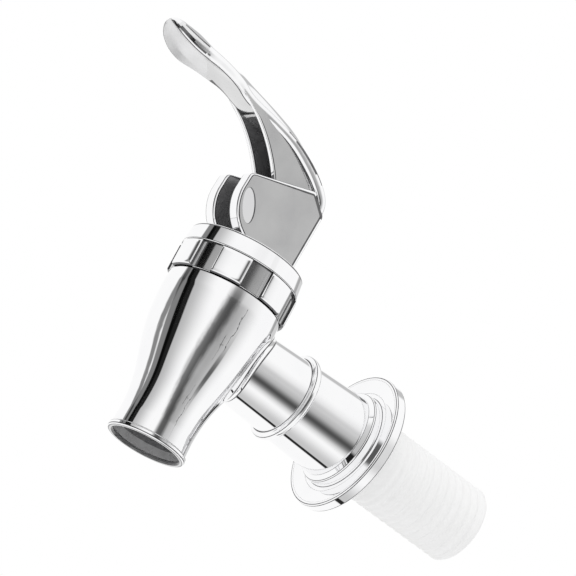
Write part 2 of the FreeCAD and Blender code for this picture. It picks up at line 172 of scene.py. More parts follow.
# Copies of one chrome plating: brightChrome is the plating itself, and the others carry painted reflections,
# painted highlights and painted shade in their colours.
chromes = {
    "brightChrome": {
        "colour": (0.955, 0.955, 0.96, 1), "colourWorn": (0.93, 0.93, 0.94, 1), "roughLow": 0.02,
        "roughHigh": 0.05, "waveScale": 95.0, "waveHeight": 0.00002, "smearScale": 160.0},
    # painted dark reflection lines, for the borders of roundings, rims, seams and outlines
    "edgeChrome": {
        "colour": (0.16, 0.16, 0.163, 1), "colourWorn": (0.08, 0.08, 0.082, 1), "roughLow": 0.12,
        "roughHigh": 0.25, "waveScale": 240.0, "waveHeight": 0.00003, "smearScale": 520.0},
    "shadedChrome": {
        "colour": (0.3, 0.3, 0.305, 1), "colourWorn": (0.2, 0.2, 0.205, 1), "roughLow": 0.2,
        "roughHigh": 0.34, "waveScale": 240.0, "waveHeight": 0.00003, "smearScale": 420.0, "metallic": 0.55},
    # painted grey reflection: darkened chrome for flat faces, such as the outer sides of ears and gussets, the
    # bonnet's recessed wall and the face round the mouth
    "flatChrome": {
        "colour": (0.66, 0.66, 0.66, 1), "colourWorn": (0.56, 0.56, 0.564, 1), "roughLow": 0.08,
        "roughHigh": 0.16, "waveScale": 90.0, "waveHeight": 0.00004, "smearScale": 130.0},
    # light grey painted reflection, for the spout's ledge, a line inside the mouth, the ends of the grip pads and
    # the handle's underside
    "paleChrome": {
        "colour": (0.72, 0.72, 0.72, 1), "colourWorn": (0.64, 0.64, 0.644, 1), "roughLow": 0.08,
        "roughHigh": 0.16, "waveScale": 90.0, "waveHeight": 0.00004, "smearScale": 130.0},
    # satin chrome, dimmed to a painted grey reflection, for patches on the handle's near rim and underside
    "softChrome": {
        "colour": (0.84, 0.84, 0.845, 1), "colourWorn": (0.74, 0.74, 0.745, 1), "roughLow": 0.3,
        "roughHigh": 0.42, "waveScale": 80.0, "waveHeight": 0.00006, "smearScale": 110.0},
    # painted grey shade deep in the nozzle: the throat and a band of the mouth's wall
    "dullChrome": {
        "colour": (0.56, 0.56, 0.565, 1), "colourWorn": (0.44, 0.44, 0.445, 1), "roughLow": 0.2,
        "roughHigh": 0.34, "waveScale": 240.0, "waveHeight": 0.00003, "smearScale": 420.0, "metallic": 0.3},
    # painted white highlight, not metal, on the lip at the front end of the handle's channel
    "frostedChrome": {
        "colour": (0.95, 0.95, 0.95, 1), "colourWorn": (0.9, 0.9, 0.9, 1), "roughLow": 0.35,
        "roughHigh": 0.45, "waveScale": 240.0, "waveHeight": 0.00002, "smearScale": 420.0, "metallic": 0.0},
    # painted shade in gaps: under the grip pads, on the barrel's top and neck and under the bonnet
    "darkGap": {
        "colour": (0.06, 0.06, 0.062, 1), "colourWorn": (0.03, 0.03, 0.031, 1), "roughLow": 0.3,
        "roughHigh": 0.5, "waveScale": 240.0, "waveHeight": 0.00003, "smearScale": 420.0},
}
plastics = {
    "whitePlastic": {
        "colour": (0.94, 0.94, 0.94, 1), "colourWorn": (0.92, 0.92, 0.918, 1), "roughLow": 0.38, "roughHigh": 0.5,
        "ior": 1.46, "glow": 0.0, "glowScale": 0.002, "mottleScale": 180.0, "grainScale": 2400.0,
        "grainHeight": 0.000004},
    "softSeal": {
        "colour": (0.74, 0.74, 0.71, 1), "colourWorn": (0.66, 0.66, 0.64, 1), "roughLow": 0.5, "roughHigh": 0.65,
        "ior": 1.41, "glow": 0.2, "glowScale": 0.002, "mottleScale": 260.0, "grainScale": 3000.0,
        "grainHeight": 0.000005},
}
steels = {
    "drawnSteel": {
        "colour": (0.62, 0.62, 0.63, 1), "roughLow": 0.22, "roughHigh": 0.38, "lineStretch": (0.08, 1.0, 1.0),
        "lineScale": 5200.0, "lineHeight": 0.000003},
}
finishes = {}
for make, looks in ((chromePlate, chromes), (plastic, plastics), (drawnSteel, steels)):
    for name, look in looks.items():
        finishes[name] = make(name, look)
plating = list(chromes)  # each chrome piece has all of these, and its faces pick one by number, their tone, which paints reflections and shade on them
bright, darkReflection, shaded, greyReflection, lightReflection, satinReflection, hollowShade, lipHighlight, gapShade = range(len(plating))
report("materials made")


def turns(steps):  # angles of one full turn
    return [2 * math.pi * step / steps for step in range(steps)]


def roundBarrel(radius, angle, z):
    return (radius * math.cos(angle), barrelY + radius * math.sin(angle), z)


def roundShank(radius, angle, y):
    return (radius * math.cos(angle), y, radius * math.sin(angle))


def cubicAt(curve, t):  # point on a cubic curve of four (a, b) points
    weights = ((1 - t) ** 3, 3 * (1 - t) ** 2 * t, 3 * (1 - t) * t ** 2, t ** 3)
    return tuple(sum(w * p[k] for w, p in zip(weights, curve)) for k in range(2))


roundParts = (0, 0.27, 0.42, 0.58, 0.73, 1)  # a rounding has painted dark reflection lines along its narrow borders and a bright middle
roundTones = (darkReflection, bright, bright, bright, darkReflection)
straightAngle = math.radians(178)  # a flatter corner isn't rounded
longestReach = 0.49  # share of a side that one rounding may take


def eased(corners):  # closed outline of (a, b, tone) from (a, b, radius, tone) corners
    outline = []
    count = len(corners)
    for index, (a, b, radius, tone) in enumerate(corners):
        here = Vector((a, b))
        before = Vector(corners[index - 1][:2]) - here
        after = Vector(corners[(index + 1) % count][:2]) - here
        turn = before.angle(after, math.pi)
        if radius == 0 or turn > straightAngle:
            outline.append((a, b, tone))
            continue
        reach = min(radius / math.tan(turn / 2), longestReach * before.length, longestReach * after.length)
        first = here + before.normalized() * reach
        last = here + after.normalized() * reach
        for part, t in enumerate(roundParts):
            point = first * (1 - t) ** 2 + here * 2 * t * (1 - t) + last * t ** 2
            plain = tone in (shaded, gapShade) or part == len(roundTones)
            outline.append((point.x, point.y, tone if plain else roundTones[part]))
    return outline


meshing = {"sameSpot": 1e-7, "needle": 2e-6, "flatAngle": 0.15, "sharpAngle": 32.0}  # metres and degrees


def skin(name, rings, closed, tone, capTones=(bright, bright)):  # mesh over rings, with a tone for each face
    size = len(rings[0])
    faces = []
    tones = []
    count = len(rings)
    for i in range(count if closed else count - 1):
        j = (i + 1) % count
        for k in range(size):
            n = (k + 1) % size
            faces.append((i * size + k, i * size + n, j * size + n, j * size + k))
            tones.append(tone(i, k))
    if not closed:
        faces += [tuple(range(size)), tuple((count - 1) * size + k for k in range(size))]
        tones += capTones
    mesh = bpy.data.meshes.new(name)
    mesh.from_pydata([tuple(c * mm for c in p) for ring in rings for p in ring], [], faces)
    for look in plating:
        mesh.materials.append(finishes[look])
    mesh.polygons.foreach_set("material_index", tones)
    work = bmesh.new()
    work.from_mesh(mesh)
    bmesh.ops.remove_doubles(work, verts=work.verts, dist=meshing["sameSpot"])
    bmesh.ops.recalc_face_normals(work, faces=work.faces)
    work.to_mesh(mesh)
    work.free()
    thing = bpy.data.objects.new(name, mesh)
    bpy.context.scene.collection.objects.link(thing)
    return thing


def lathe(name, outline, steps, place):  # closed (radius, height, tone) outline turned about an axis
    rings = [[place(radius, angle, height) for radius, height, _ in outline] for angle in turns(steps)]
    return skin(name, rings, True, lambda i, k: outline[k][2])


def applyModifiers(thing):
    bpy.context.view_layer.update()
    graph = bpy.context.evaluated_depsgraph_get()
    applied = bpy.data.meshes.new_from_object(thing.evaluated_get(graph))
    thing.modifiers.clear()
    thing.data = applied


def combine(target, others, operation="UNION"):  # boolean that uses the others up
    for other in others:
        modifier = target.modifiers.new("combine", "BOOLEAN")
        modifier.operation = operation
        modifier.solver = "MANIFOLD"
        modifier.object = other
        applyModifiers(target)
        bpy.data.objects.remove(other)


def smoothen(thing, sharpAngle=meshing["sharpAngle"], weighted=True):
    work = bmesh.new()
    work.from_mesh(thing.data)
    bmesh.ops.remove_doubles(work, verts=work.verts, dist=meshing["needle"])
    bmesh.ops.dissolve_degenerate(work, edges=work.edges, dist=meshing["needle"])
    bmesh.ops.dissolve_limit(work, angle_limit=math.radians(meshing["flatAngle"]), verts=work.verts,
                             edges=work.edges, delimit={"MATERIAL"})
    for face in work.faces:
        face.smooth = True
    limit = math.radians(sharpAngle)
    for border in work.edges:
        toneCount = len({face.material_index for face in border.link_faces})
        border.smooth = toneCount < 2 and border.calc_face_angle(0.0) < limit
    work.to_mesh(thing.data)
    work.free()
    if weighted:
        modifier = thing.modifiers.new("weigh", "WEIGHTED_NORMAL")
        modifier.keep_sharp = True
        modifier.weight = 100
        applyModifiers(thing)


def dress(thing, body, node):
    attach(thing, body)
    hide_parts(node)
    report(f"{thing.name} made with {len(thing.data.polygons)} faces")


barrel = {
    "steps": 192, "swellSteps": 44,
    "waistRadius": 7.4, "waistZ": -19.2, "waistPull": 0.42,
    "bellyRadius": 11.5, "bellyZ": 6.1, "bellyPull": 0.54,
    "topRadius": 11.35, "topZ": 8.5, "topRound": 0.3,
    "mouthZ": -23.35, "lipRadius": 7.85, "lipHeight": 1.0, "lipRound": 0.42,
    "lipFoot": 0.12, "lipFootRound": 0.15,
    "mouthRadius": 6.75, "mouthDepth": 3.7, "mouthRound": 0.3,
    "mouthShadeBands": ((3.5, shaded), (2.3, hollowShade), (0.75, lightReflection), (0.6, shaded)),  # height each band of painted shade and light begins at, going down: shade, grey shade, a light line, shade
    "spoutRadius": 4.9, "spoutRise": 0.6, "spoutRound": 0.3,
    "throatRadius": 4.4, "throatZ": -9.5, "seatZ": -5.5, "floorZ": -6.3, "seatLipRadius": 5.1,
    "chamberRadius": 8.0, "neckRadius": 9.9, "neckTop": 13.6, "halvings": 40,
}


def swellCurve():  # side of the barrel from waist to belly
    b = barrel
    rise = b["bellyZ"] - b["waistZ"]
    return ((b["waistRadius"], b["waistZ"]), (b["waistRadius"], b["waistZ"] + b["waistPull"] * rise),
            (b["bellyRadius"], b["bellyZ"] - b["bellyPull"] * rise), (b["bellyRadius"], b["bellyZ"]))


def barrelRadiusAt(z):  # outside radius at a height over the waist
    curve = swellCurve()
    radius, bellyZ = curve[-1]
    if z >= bellyZ:
        share = (z - bellyZ) / (barrel["topZ"] - bellyZ)
        return radius + (barrel["topRadius"] - radius) * share
    low, high = 0.0, 1.0
    for _ in range(barrel["halvings"]):
        t = (low + high) / 2
        radius, height = cubicAt(curve, t)
        if height < z:
            low = t
        else:
            high = t
    return radius


def barrelOutline():
    b = barrel
    lipTop, mouthTop = b["mouthZ"] + b["lipHeight"], b["mouthZ"] + b["mouthDepth"]
    curve = swellCurve()
    corners = [
        (b["lipRadius"], b["mouthZ"], b["lipRound"], bright), (b["lipRadius"], lipTop, b["lipRound"], bright),
        (b["waistRadius"] + b["lipFoot"], lipTop, b["lipFootRound"], bright)]
    corners += [cubicAt(curve, step / b["swellSteps"]) + (0, bright) for step in range(b["swellSteps"] + 1)]
    # painted gap shade on the top and neck, painted shade in the chamber and seat, painted grey shade in the
    # throat, a light painted reflection on the spout's ledge and a painted dark line below it, then the mouth's
    # painted bands
    corners += [
        (b["topRadius"], b["topZ"], b["topRound"], gapShade), (b["neckRadius"], b["topZ"], 0, gapShade),
        (b["neckRadius"], b["neckTop"], 0, gapShade), (b["chamberRadius"], b["neckTop"], 0, shaded),
        (b["chamberRadius"], b["floorZ"], 0, shaded), (b["seatLipRadius"], b["floorZ"], 0, shaded),
        (b["seatLipRadius"], b["seatZ"], 0, shaded), (b["throatRadius"], b["seatZ"], 0, hollowShade),
        (b["throatRadius"], b["throatZ"], 0, hollowShade),
        (b["spoutRadius"], mouthTop + b["spoutRise"], b["spoutRound"], lightReflection),
        (b["mouthRadius"], mouthTop, 0, darkReflection)]
    corners += [(b["mouthRadius"], b["mouthZ"] + height, 0, tone) for height, tone in b["mouthShadeBands"]]
    # a painted dark reflection line at the mouth's edge and a grey painted reflection on the face round the mouth
    corners += [(b["mouthRadius"], b["mouthZ"] + b["mouthRound"], 0, darkReflection),
                (b["mouthRadius"] + b["mouthRound"], b["mouthZ"], 0, greyReflection)]
    return eased(corners)


shank = {
    "steps": 192, "frontRadius": 7.45, "frontY": -30.7,
    "sideRadius": 8.0, "rearSideRadius": 8.2, "rearRadius": 8.75,  # before and behind the bead, and at the boss
    "beadY": -17.6, "beadHalf": 0.95, "beadRadius": 9.1, "beadSteps": 20, "beadReflectionLines": (0, 6, 19),
    "bossRadius": 9.74, "bossFront": -4.25, "bossRear": -3.55, "bossRound": 0.5, "line": 0.1,
    "flangeRadius": 14.22, "flangeFront": -2.3, "dishDepth": 0.5, "dishWidth": 1.0, "dishRound": 0.5,
    "rimWidth": 0.75, "rimRounds": (0.35, 0.45, 0.3),
    "shoulderRadius": 8.72, "shoulderY": -1.12, "boreRadius": 6.37, "boreEnd": -28.42,
    "passageRadius": 4.5, "drillSteps": 96, "drillFront": -36.7, "drillRear": -25.42,
}


def shankOutline():
    s = shank
    bead = []
    for step in range(s["beadSteps"] + 1):
        turn = math.pi * step / s["beadSteps"]
        share = 0.5 - 0.5 * math.cos(turn)
        side = s["sideRadius"] + (s["rearSideRadius"] - s["sideRadius"]) * share
        height = (s["beadRadius"] - side) * math.sin(turn)
        # some steps of the bead get painted dark reflection lines
        tone = darkReflection if step in s["beadReflectionLines"] else bright
        bead.append((side + height, s["beadY"] - s["beadHalf"] + 2 * s["beadHalf"] * share, 0, tone))
    low = s["flangeFront"] + s["dishDepth"]
    frontRound, rimRound, rearRound = s["rimRounds"]
    corners = [(s["passageRadius"], s["frontY"], 0, shaded), (s["frontRadius"], s["frontY"], 0, bright)]
    corners += bead
    # painted dark reflection lines: a thin ring in front of the boss and one at the foot of the dish
    corners += [
        (s["rearRadius"], s["bossFront"] - s["line"], 0, darkReflection), (s["rearRadius"], s["bossFront"], 0, bright),
        (s["bossRadius"], s["bossRear"], s["bossRound"], bright),
        (s["bossRadius"] + s["line"], low - s["line"], 0, darkReflection),
        (s["bossRadius"] + 2 * s["line"], low, 0, bright),
        (s["bossRadius"] + s["dishWidth"], low, s["dishRound"], bright),
        (s["flangeRadius"] - s["rimWidth"], s["flangeFront"], frontRound, bright),
        (s["flangeRadius"], s["flangeFront"], rimRound, bright), (s["flangeRadius"], 0, rearRound, bright),
        (s["shoulderRadius"], 0, 0, bright), (s["shoulderRadius"], s["shoulderY"], 0, shaded),
        (s["boreRadius"], s["shoulderY"], 0, shaded), (s["boreRadius"], s["boreEnd"], 0, shaded),
        (s["passageRadius"], s["boreEnd"], 0, shaded)]
    return eased(corners)


def shankRadiusAt(y):  # between the barrel and the bead
    start = shank["beadY"] - shank["beadHalf"]
    share = (y - shank["frontY"]) / (start - shank["frontY"])
    return shank["frontRadius"] + (shank["sideRadius"] - shank["frontRadius"]) * share


def passageDrill():
    s = shank
    rings = [[roundShank(s["passageRadius"], angle, y) for angle in turns(s["drillSteps"])]
             for y in (s["drillFront"], s["drillRear"])]
    return skin("passageDrill", rings, False, lambda i, k: shaded, (shaded, shaded))


root = {
    "steps": 192, "reach": 1.05, "sunk": 0.4, "under": 0.06, "curveSteps": 8, "hollow": 0.42,
    "firstY": -29.0, "tries": 6,
}


def rootRing():  # moulded fillet where the shank leaves the barrel
    r = root
    rings = []
    for angle in turns(r["steps"]):
        cornerY = r["firstY"]
        for _ in range(r["tries"]):  # each try lands nearer to where shank and barrel meet
            radius = shankRadiusAt(cornerY)
            x, z = radius * math.cos(angle), radius * math.sin(angle)
            cornerY = barrelY + math.sqrt(barrelRadiusAt(z) ** 2 - x ** 2)
        corner = Vector((x, cornerY, z))
        out = Vector((math.cos(angle), 0, math.sin(angle)))
        rearY = (corner + Vector((0, r["reach"], 0))).y
        onShank = Vector((0, rearY, 0)) + out * (shankRadiusAt(rearY) - r["under"])
        away = corner + out * r["reach"]
        wallY = barrelY + math.sqrt(barrelRadiusAt(away.z) ** 2 - away.x ** 2)
        onBarrel = Vector((away.x, wallY, away.z)) - Vector((0, r["under"], 0))
        pull = (onShank + onBarrel) / 2 * (1 - r["hollow"]) + corner * r["hollow"]
        ring = []
        for part in range(r["curveSteps"] + 1):
            t = part / r["curveSteps"]
            ring.append(onShank * (1 - t) ** 2 + pull * 2 * t * (1 - t) + onBarrel * t ** 2)
        inwards = Vector((0, -r["sunk"], 0))  # the last three points are sunk into barrel and shank
        ring += [onBarrel + inwards, corner + inwards - out * r["sunk"], onShank - out * r["sunk"]]
        rings.append([tuple(p) for p in ring])
    # painted dark reflection lines along both borders of the fillet
    borders = (0, 1, r["curveSteps"] - 2, r["curveSteps"] - 1)
    return skin("rootRing", rings, True, lambda i, k: darkReflection if k in borders else bright)


def makeBody():
    thing = lathe("valveShell", barrelOutline(), barrel["steps"], roundBarrel)
    neck = lathe("shankShell", shankOutline(), shank["steps"], roundShank)
    combine(thing, [passageDrill()], "DIFFERENCE")
    combine(thing, [neck, rootRing()])
    smoothen(thing)
    dress(thing, "body", "valve_body")


bonnet = {
    "steps": 192, "boreRadius": 10.0, "topRadius": 11.5, "baseRadius": 11.95, "topZ": 17.8, "topRound": 0.55,
    "recessRadius": 11.3, "bottomZ": 8.5, "baseRound": 0.2, "clampZ": 15.6, "holeRadius": 2.1, "holeRound": 0.15,
    "padCount": 7, "padRadius": 12.2, "padTop": 14.1, "padGap": 0.02, "padRound": 0.6, "padSunk": 0.5,
    "recessAngle": 20.5, "turn": 2.5,
    "padShares": (0, 0.03, 0.06, 0.1, 0.16, 0.3, 0.5, 0.7, 0.84, 0.9, 0.94, 0.97, 1),
}


def pad(first, sweep):  # one raised grip, crowned at its borders
    b = bonnet
    bottom, top = b["bottomZ"] + b["padGap"], b["padTop"] - b["padGap"]
    inner = b["recessRadius"] - b["padSunk"]
    shares = b["padShares"]
    rings = []
    for across in shares:
        angle = math.radians(first + sweep * across)
        side = min(across, 1 - across) * math.radians(sweep) * b["padRadius"]
        ring = []
        for up in shares:
            inwards = min(side, min(up, 1 - up) * (top - bottom))
            share = max(0.0, 1 - inwards / b["padRound"])
            radius = b["padRadius"] - b["padRound"] * (1 - math.sqrt(1 - share ** 2))
            ring.append(roundBarrel(radius, angle, bottom + (top - bottom) * up))
        ring += [roundBarrel(inner, angle, top), roundBarrel(inner, angle, bottom)]
        rings.append(ring)
    last = len(shares) - 2
    under = len(shares) + 1

    # painted gap shade under the pad, painted dark reflection lines round its borders, and a light painted
    # reflection on its end caps
    def tone(i, k):
        if k == under:
            return gapShade
        return darkReflection if i in (0, last) or k in (0, last) else bright

    return skin("gripPad", rings, False, tone, (lightReflection, lightReflection))


def makeBonnet():
    b = bonnet
    # painted gap shade on the bottom, a grey painted reflection on the recessed wall between the pads, a painted
    # dark reflection line on the ledge above it, and painted shade in the hole and bore
    outline = eased([
        (b["boreRadius"], b["bottomZ"], 0, gapShade), (b["recessRadius"], b["bottomZ"], b["baseRound"], greyReflection),
        (b["recessRadius"], b["padTop"], 0, darkReflection), (b["baseRadius"], b["padTop"], b["baseRound"], bright),
        (b["topRadius"], b["topZ"], b["topRound"], bright), (b["holeRadius"], b["topZ"], b["holeRound"], shaded),
        (b["holeRadius"], b["clampZ"], 0, shaded), (b["boreRadius"], b["clampZ"], 0, shaded)])
    thing = lathe("bonnetShell", outline, b["steps"], roundBarrel)
    sweep = 360 / b["padCount"] - b["recessAngle"]
    first = 90 + b["recessAngle"] / 2 + b["turn"]
    combine(thing, [pad(first + index * 360 / b["padCount"], sweep) for index in range(b["padCount"])])
    smoothen(thing)
    dress(thing, "body", "bonnet")


# forward, up, half width, thickness, crown on top and hollow below
handleStations = [
    (-6.2, 12.0, 5.6, 2.0, 0.05, 0.05), (-5.7, 15.3, 5.6, 2.0, 0.4, 0.3), (-3.2, 17.8, 5.45, 2.1, 0.9, 0.7),
    (0.5, 20.0, 5.1, 2.1, 1.5, 1.0), (4.9, 21.8, 4.7, 1.9, 2.0, 1.0), (9.8, 22.9, 4.1, 1.8, 2.2, 0.6),
    (15.9, 23.9, 3.2, 2.0, 2.2, -0.3), (19.6, 24.9, 3.7, 2.1, 1.7, -0.2), (22.5, 25.2, 4.4, 2.1, 1.2, 0.3),
    (25.8, 25.3, 5.0, 2.2, 1.4, 0.8), (29.3, 25.2, 5.5, 2.3, 1.8, 1.3), (32.0, 25.5, 5.1, 2.3, 2.0, 1.5),
    (34.4, 26.2, 4.2, 2.1, 1.6, 1.2), (36.0, 27.0, 3.0, 1.8, 1.1, 0.8), (37.2, 27.8, 1.4, 1.2, 0.4, 0.3),
]
handle = {
    "rowSteps": 9, "topSteps": 18, "rimSteps": 9, "rimRound": 0.75, "rimShare": 0.4, "nearby": 0.05,
    "seamOut": 0.17, "seamIn": 0.2, "seamOutShare": 0.99, "seamInShare": 0.97,  # beside the gusset's walls
    "tipStart": 4, "tipSteps": 8, "tipShare": 0.04,
}
# Painted reflections on the near rim, dark lines and a grey satin patch: first and last face, counted from the
# top, the rows of the table between which they lie, and the tone. The first one that fits counts.
rimReflectionPatches = (
    (2, 2, 1.8, 4.4, darkReflection), (3, 3, 2.4, 3.9, darkReflection), (6, 6, 10.2, 13.2, darkReflection), (5, 5, 11.3, 12.8, darkReflection),
    (2, 2, 10.2, 12.7, darkReflection), (2, 6, 10.2, 13.2, satinReflection),
)
# Rows of the table at which the painted tones of the underside end: the painted shade in the channel, the painted
# highlight on its lip, the painted dark line in front of the lip, the painted dark line along the far side, and
# the light painted reflection, whose end slants
underside = {
    "channel": 5.4, "lip": 5.5, "line": 5.6, "farLine": 8, "farFaces": 3, "lightReflection": 10.1, "lightReflectionSlant": 2.1,
}


def spot(forward, up):  # (y, z) from distances forward of the stem and up from the bonnet
    return (barrelY - forward, bonnet["topZ"] + up)


def between(rows, place):  # smooth curve through the rows of a table, at a fractional row
    last = len(rows) - 1
    index = min(int(place), last - 1)
    t = place - index
    before, here, after, beyond = (rows[min(max(index + k, 0), last)] for k in (-1, 0, 1, 2))
    values = []
    for a, b, c, d in zip(before, here, after, beyond):
        square, cube = 2 * a - 5 * b + 4 * c - d, 3 * b - a - 3 * c + d
        values.append(0.5 * (2 * b + (c - a) * t + square * t * t + cube * t ** 3))
    return values


def handleFrame(place):  # row of the table, middle of the strip and the way out of its top
    last = len(handleStations) - 1
    here = between(handleStations, place)
    ahead = between(handleStations, min(place + handle["nearby"], last))
    behind = between(handleStations, max(place - handle["nearby"], 0))
    run = Vector((0, behind[0] - ahead[0], ahead[1] - behind[1])).normalized()
    if place == 0:
        run = Vector((0, 0, 1))
    out = Vector((0, run.z, -run.y))
    y, z = spot(here[0], here[1])
    return here, Vector((0, y, z)), out


lever = {
    "earHalf": 5.75, "slotHalf": 2.6, "earRound": 0.45, "camForward": 2.3, "camRadius": 8.2, "camSteps": 24,
    "noseForward": 10.3, "noseUp": 11.6, "noseRound": 1.3, "crestBack": 3.4, "crestUp": 16.3, "crestRound": 1.2,
    "rear": 6.8, "rearTop": 7.3, "rearUp": 13.2, "rearRound": 1.4, "rearRim": 2,
    "webThickness": 2.0, "webLift": 0.1, "webRise": 1.5, "webSunk": 0.6, "webRound": 0.05,
    "gussetHalfRear": 4.25, "gussetHalfFront": 3.6, "wallRound": 0.3, "archSteps": 20, "rimFade": 3,
    "tipForward": 14.9, "tipUp": 22.5, "midForward": 8.6, "midUp": 18.2, "rootForward": 4.3, "rootUp": 13.4,
    "sunkDepth": 3.5, "sunkIn": 1.0, "spineDrop": 0.2, "spineRows": 7, "spineSteps": 4,
    "ovalForward": 7.7, "ovalUp": 6.0, "ovalLong": 3.3, "ovalShort": 1.35, "ovalTilt": 28.0, "ovalSteps": 64,
    "ovalLevels": ((-0.2, 0.0), (-0.06, 0.02), (0.0, 0.08), (0.3, 0.4)),  # height over the ear, and growth
}


def gussetHalfAt(forward):  # half width over the gusset's walls, which draw together towards the front
    v = lever
    share = (forward + v["rearTop"]) / (v["tipForward"] + v["rearTop"])
    return v["gussetHalfRear"] + (v["gussetHalfFront"] - v["gussetHalfRear"]) * share


def handleRing(place, shrink=1.0):  # section of the strip: top, near rim, underside and far rim
    h = handle
    row, middle, out = handleFrame(place)
    half, thick, crown, hollow = (value * shrink for value in row[2:])
    top = thick / 2
    curl = min(h["rimRound"], half * h["rimShare"])
    side = half - curl
    steps = h["topSteps"]
    ring = []
    for step in range(steps + 1):
        x = side * (2 * step / steps - 1)
        ring.append((x, top + crown * (1 - (x / side) ** 2)))
    for step in range(1, h["rimSteps"]):
        turn = math.pi / 2 - math.pi * step / h["rimSteps"]
        ring.append((side + curl * math.cos(turn), top * math.sin(turn)))
    wall = gussetHalfAt(row[0])
    start = min(wall - h["seamIn"], side * h["seamInShare"])
    seam = [side, min(wall + h["seamOut"], side * h["seamOutShare"]), start]
    rest = steps - 2 * (len(seam) - 1)  # steps between the two seams
    inner = [start * (1 - 2 * step / rest) for step in range(1, rest)]
    for x in seam + inner + [-x for x in reversed(seam)]:
        ring.append((x, -top + hollow * (1 - (x / side) ** 2)))
    for step in range(1, h["rimSteps"]):
        turn = -math.pi / 2 - math.pi * step / h["rimSteps"]
        ring.append((-side + curl * math.cos(turn), top * math.sin(turn)))
    return [tuple(middle + Vector((x, 0, 0)) + out * rise) for x, rise in ring]


def makeHandle():
    h = handle
    fine = h["rowSteps"]
    last = len(handleStations) - 1
    rings = [handleRing(step / fine) for step in range((last - 1) * fine + h["tipStart"] + 1)]
    final = (last - 1) + h["tipStart"] / fine
    for step in range(1, h["tipSteps"] + 1):
        turn = step / h["tipSteps"] * math.pi / 2
        rings.append(handleRing(final + (last - final) * math.sin(turn), max(math.cos(turn), h["tipShare"])))
    top, side = h["topSteps"], h["rimSteps"]
    borders = (top, top + side - 1, 2 * top + side, 2 * top + 2 * side - 1)
    under = range(top + side, 2 * top + side)

    def undersideTone(row, fromNear):
        u = underside
        inwards = min(fromNear, top - 1 - fromNear)
        # painted shade on the channel's roof, with a bright face and a painted dark line at each border
        if row < u["channel"]:
            return (bright, darkReflection)[inwards] if inwards < 2 else shaded
        if row < u["line"]:
            return lipHighlight if row < u["lip"] else darkReflection
        if fromNear >= top - u["farFaces"] and row < u["farLine"]:
            return darkReflection
        return lightReflection if fromNear / top < (u["lightReflection"] - row) / u["lightReflectionSlant"] else satinReflection

    def tone(i, k):
        row = i / fine
        # painted dark reflection lines along the borders of the rims
        if k in borders:
            return darkReflection
        if k in under:
            return undersideTone(row, k - under.start)
        for firstFace, lastFace, start, end, reflectionTone in rimReflectionPatches:
            if firstFace <= k - top <= lastFace and start < row < end:
                return reflectionTone
        return bright

    return skin("handleShell", rings, False, tone)


def inset(outline, distances):  # closed outline moved inwards along its corner normals
    count = len(outline)
    area = sum(a[0] * b[1] - b[0] * a[1] for a, b in zip(outline, outline[1:] + outline[:1]))
    turn = 1 if area > 0 else -1
    moved = []
    for i in range(count):
        here = Vector(outline[i])
        a = (here - Vector(outline[i - 1])).normalized()
        b = (Vector(outline[(i + 1) % count]) - here).normalized()
        normal = (Vector((-a.y - b.y, a.x + b.x)) * turn).normalized()
        reach = distances[i] / max(0.5, abs(normal.dot(Vector((-a.y, a.x)))))  # up to twice as far at a corner
        moved.append(tuple(here + normal * reach))
    return moved


# Plate of a (y, z) outline from low to high in X, with round rims. The shares scale the rim at each point, and
# the faces listed in the last argument get the painted dark reflection tone on the rims as well as between them.
def slab(name, outline, low, high, rim, capTones, shares=None, darkReflectionFaces=()):
    shares = shares or [1] * len(outline)
    levels = []
    for t in roundParts:
        turn = math.pi / 2 * t
        levels.append((low + rim * (1 - math.cos(turn)), rim * (1 - math.sin(turn))))
    levels += [(low + high - x, amount) for x, amount in reversed(levels)]
    rings = [[(x, y, z) for y, z in inset(outline, [amount * share for share in shares])] for x, amount in levels]
    tones = roundTones + (bright,) + roundTones
    return skin(name, rings, False, lambda i, k: darkReflection if k in darkReflectionFaces else tones[i], capTones)


def earOutline():
    v = lever
    arc = []
    for step in range(v["camSteps"] + 1):
        angle = math.radians(90 * step / v["camSteps"] - 90)
        forward = v["camForward"] + v["camRadius"] * math.cos(angle)
        arc.append(spot(forward, v["camRadius"] + v["camRadius"] * math.sin(angle)) + (0, bright))
    corners = arc + [
        spot(v["noseForward"], v["noseUp"]) + (v["noseRound"], bright),
        spot(-v["crestBack"], v["crestUp"]) + (v["crestRound"], bright),
        spot(-v["rearTop"], v["rearUp"]) + (v["rearRound"], bright),
        spot(-v["rear"], 0) + (v["rearRound"], bright)]
    return [point[:2] for point in eased(corners)]


def ears():
    v = lever
    outline = earOutline()
    part = len(roundParts)
    plain = len(outline) - 3 * part
    shares = [1] * plain + [v["rearRim"]] * 3 * part  # a broader rim at the rear
    darkReflectionFaces = range(plain + part - 1, plain + 2 * part - 1)
    # painted shade on the inner sides facing the slot and a grey painted reflection on the outer sides
    return [slab("earPlate", outline, v["slotHalf"], v["earHalf"], v["earRound"], (shaded, greyReflection), shares, darkReflectionFaces),
            slab("earPlate", outline, -v["earHalf"], -v["slotHalf"], v["earRound"], (greyReflection, shaded), shares, darkReflectionFaces)]


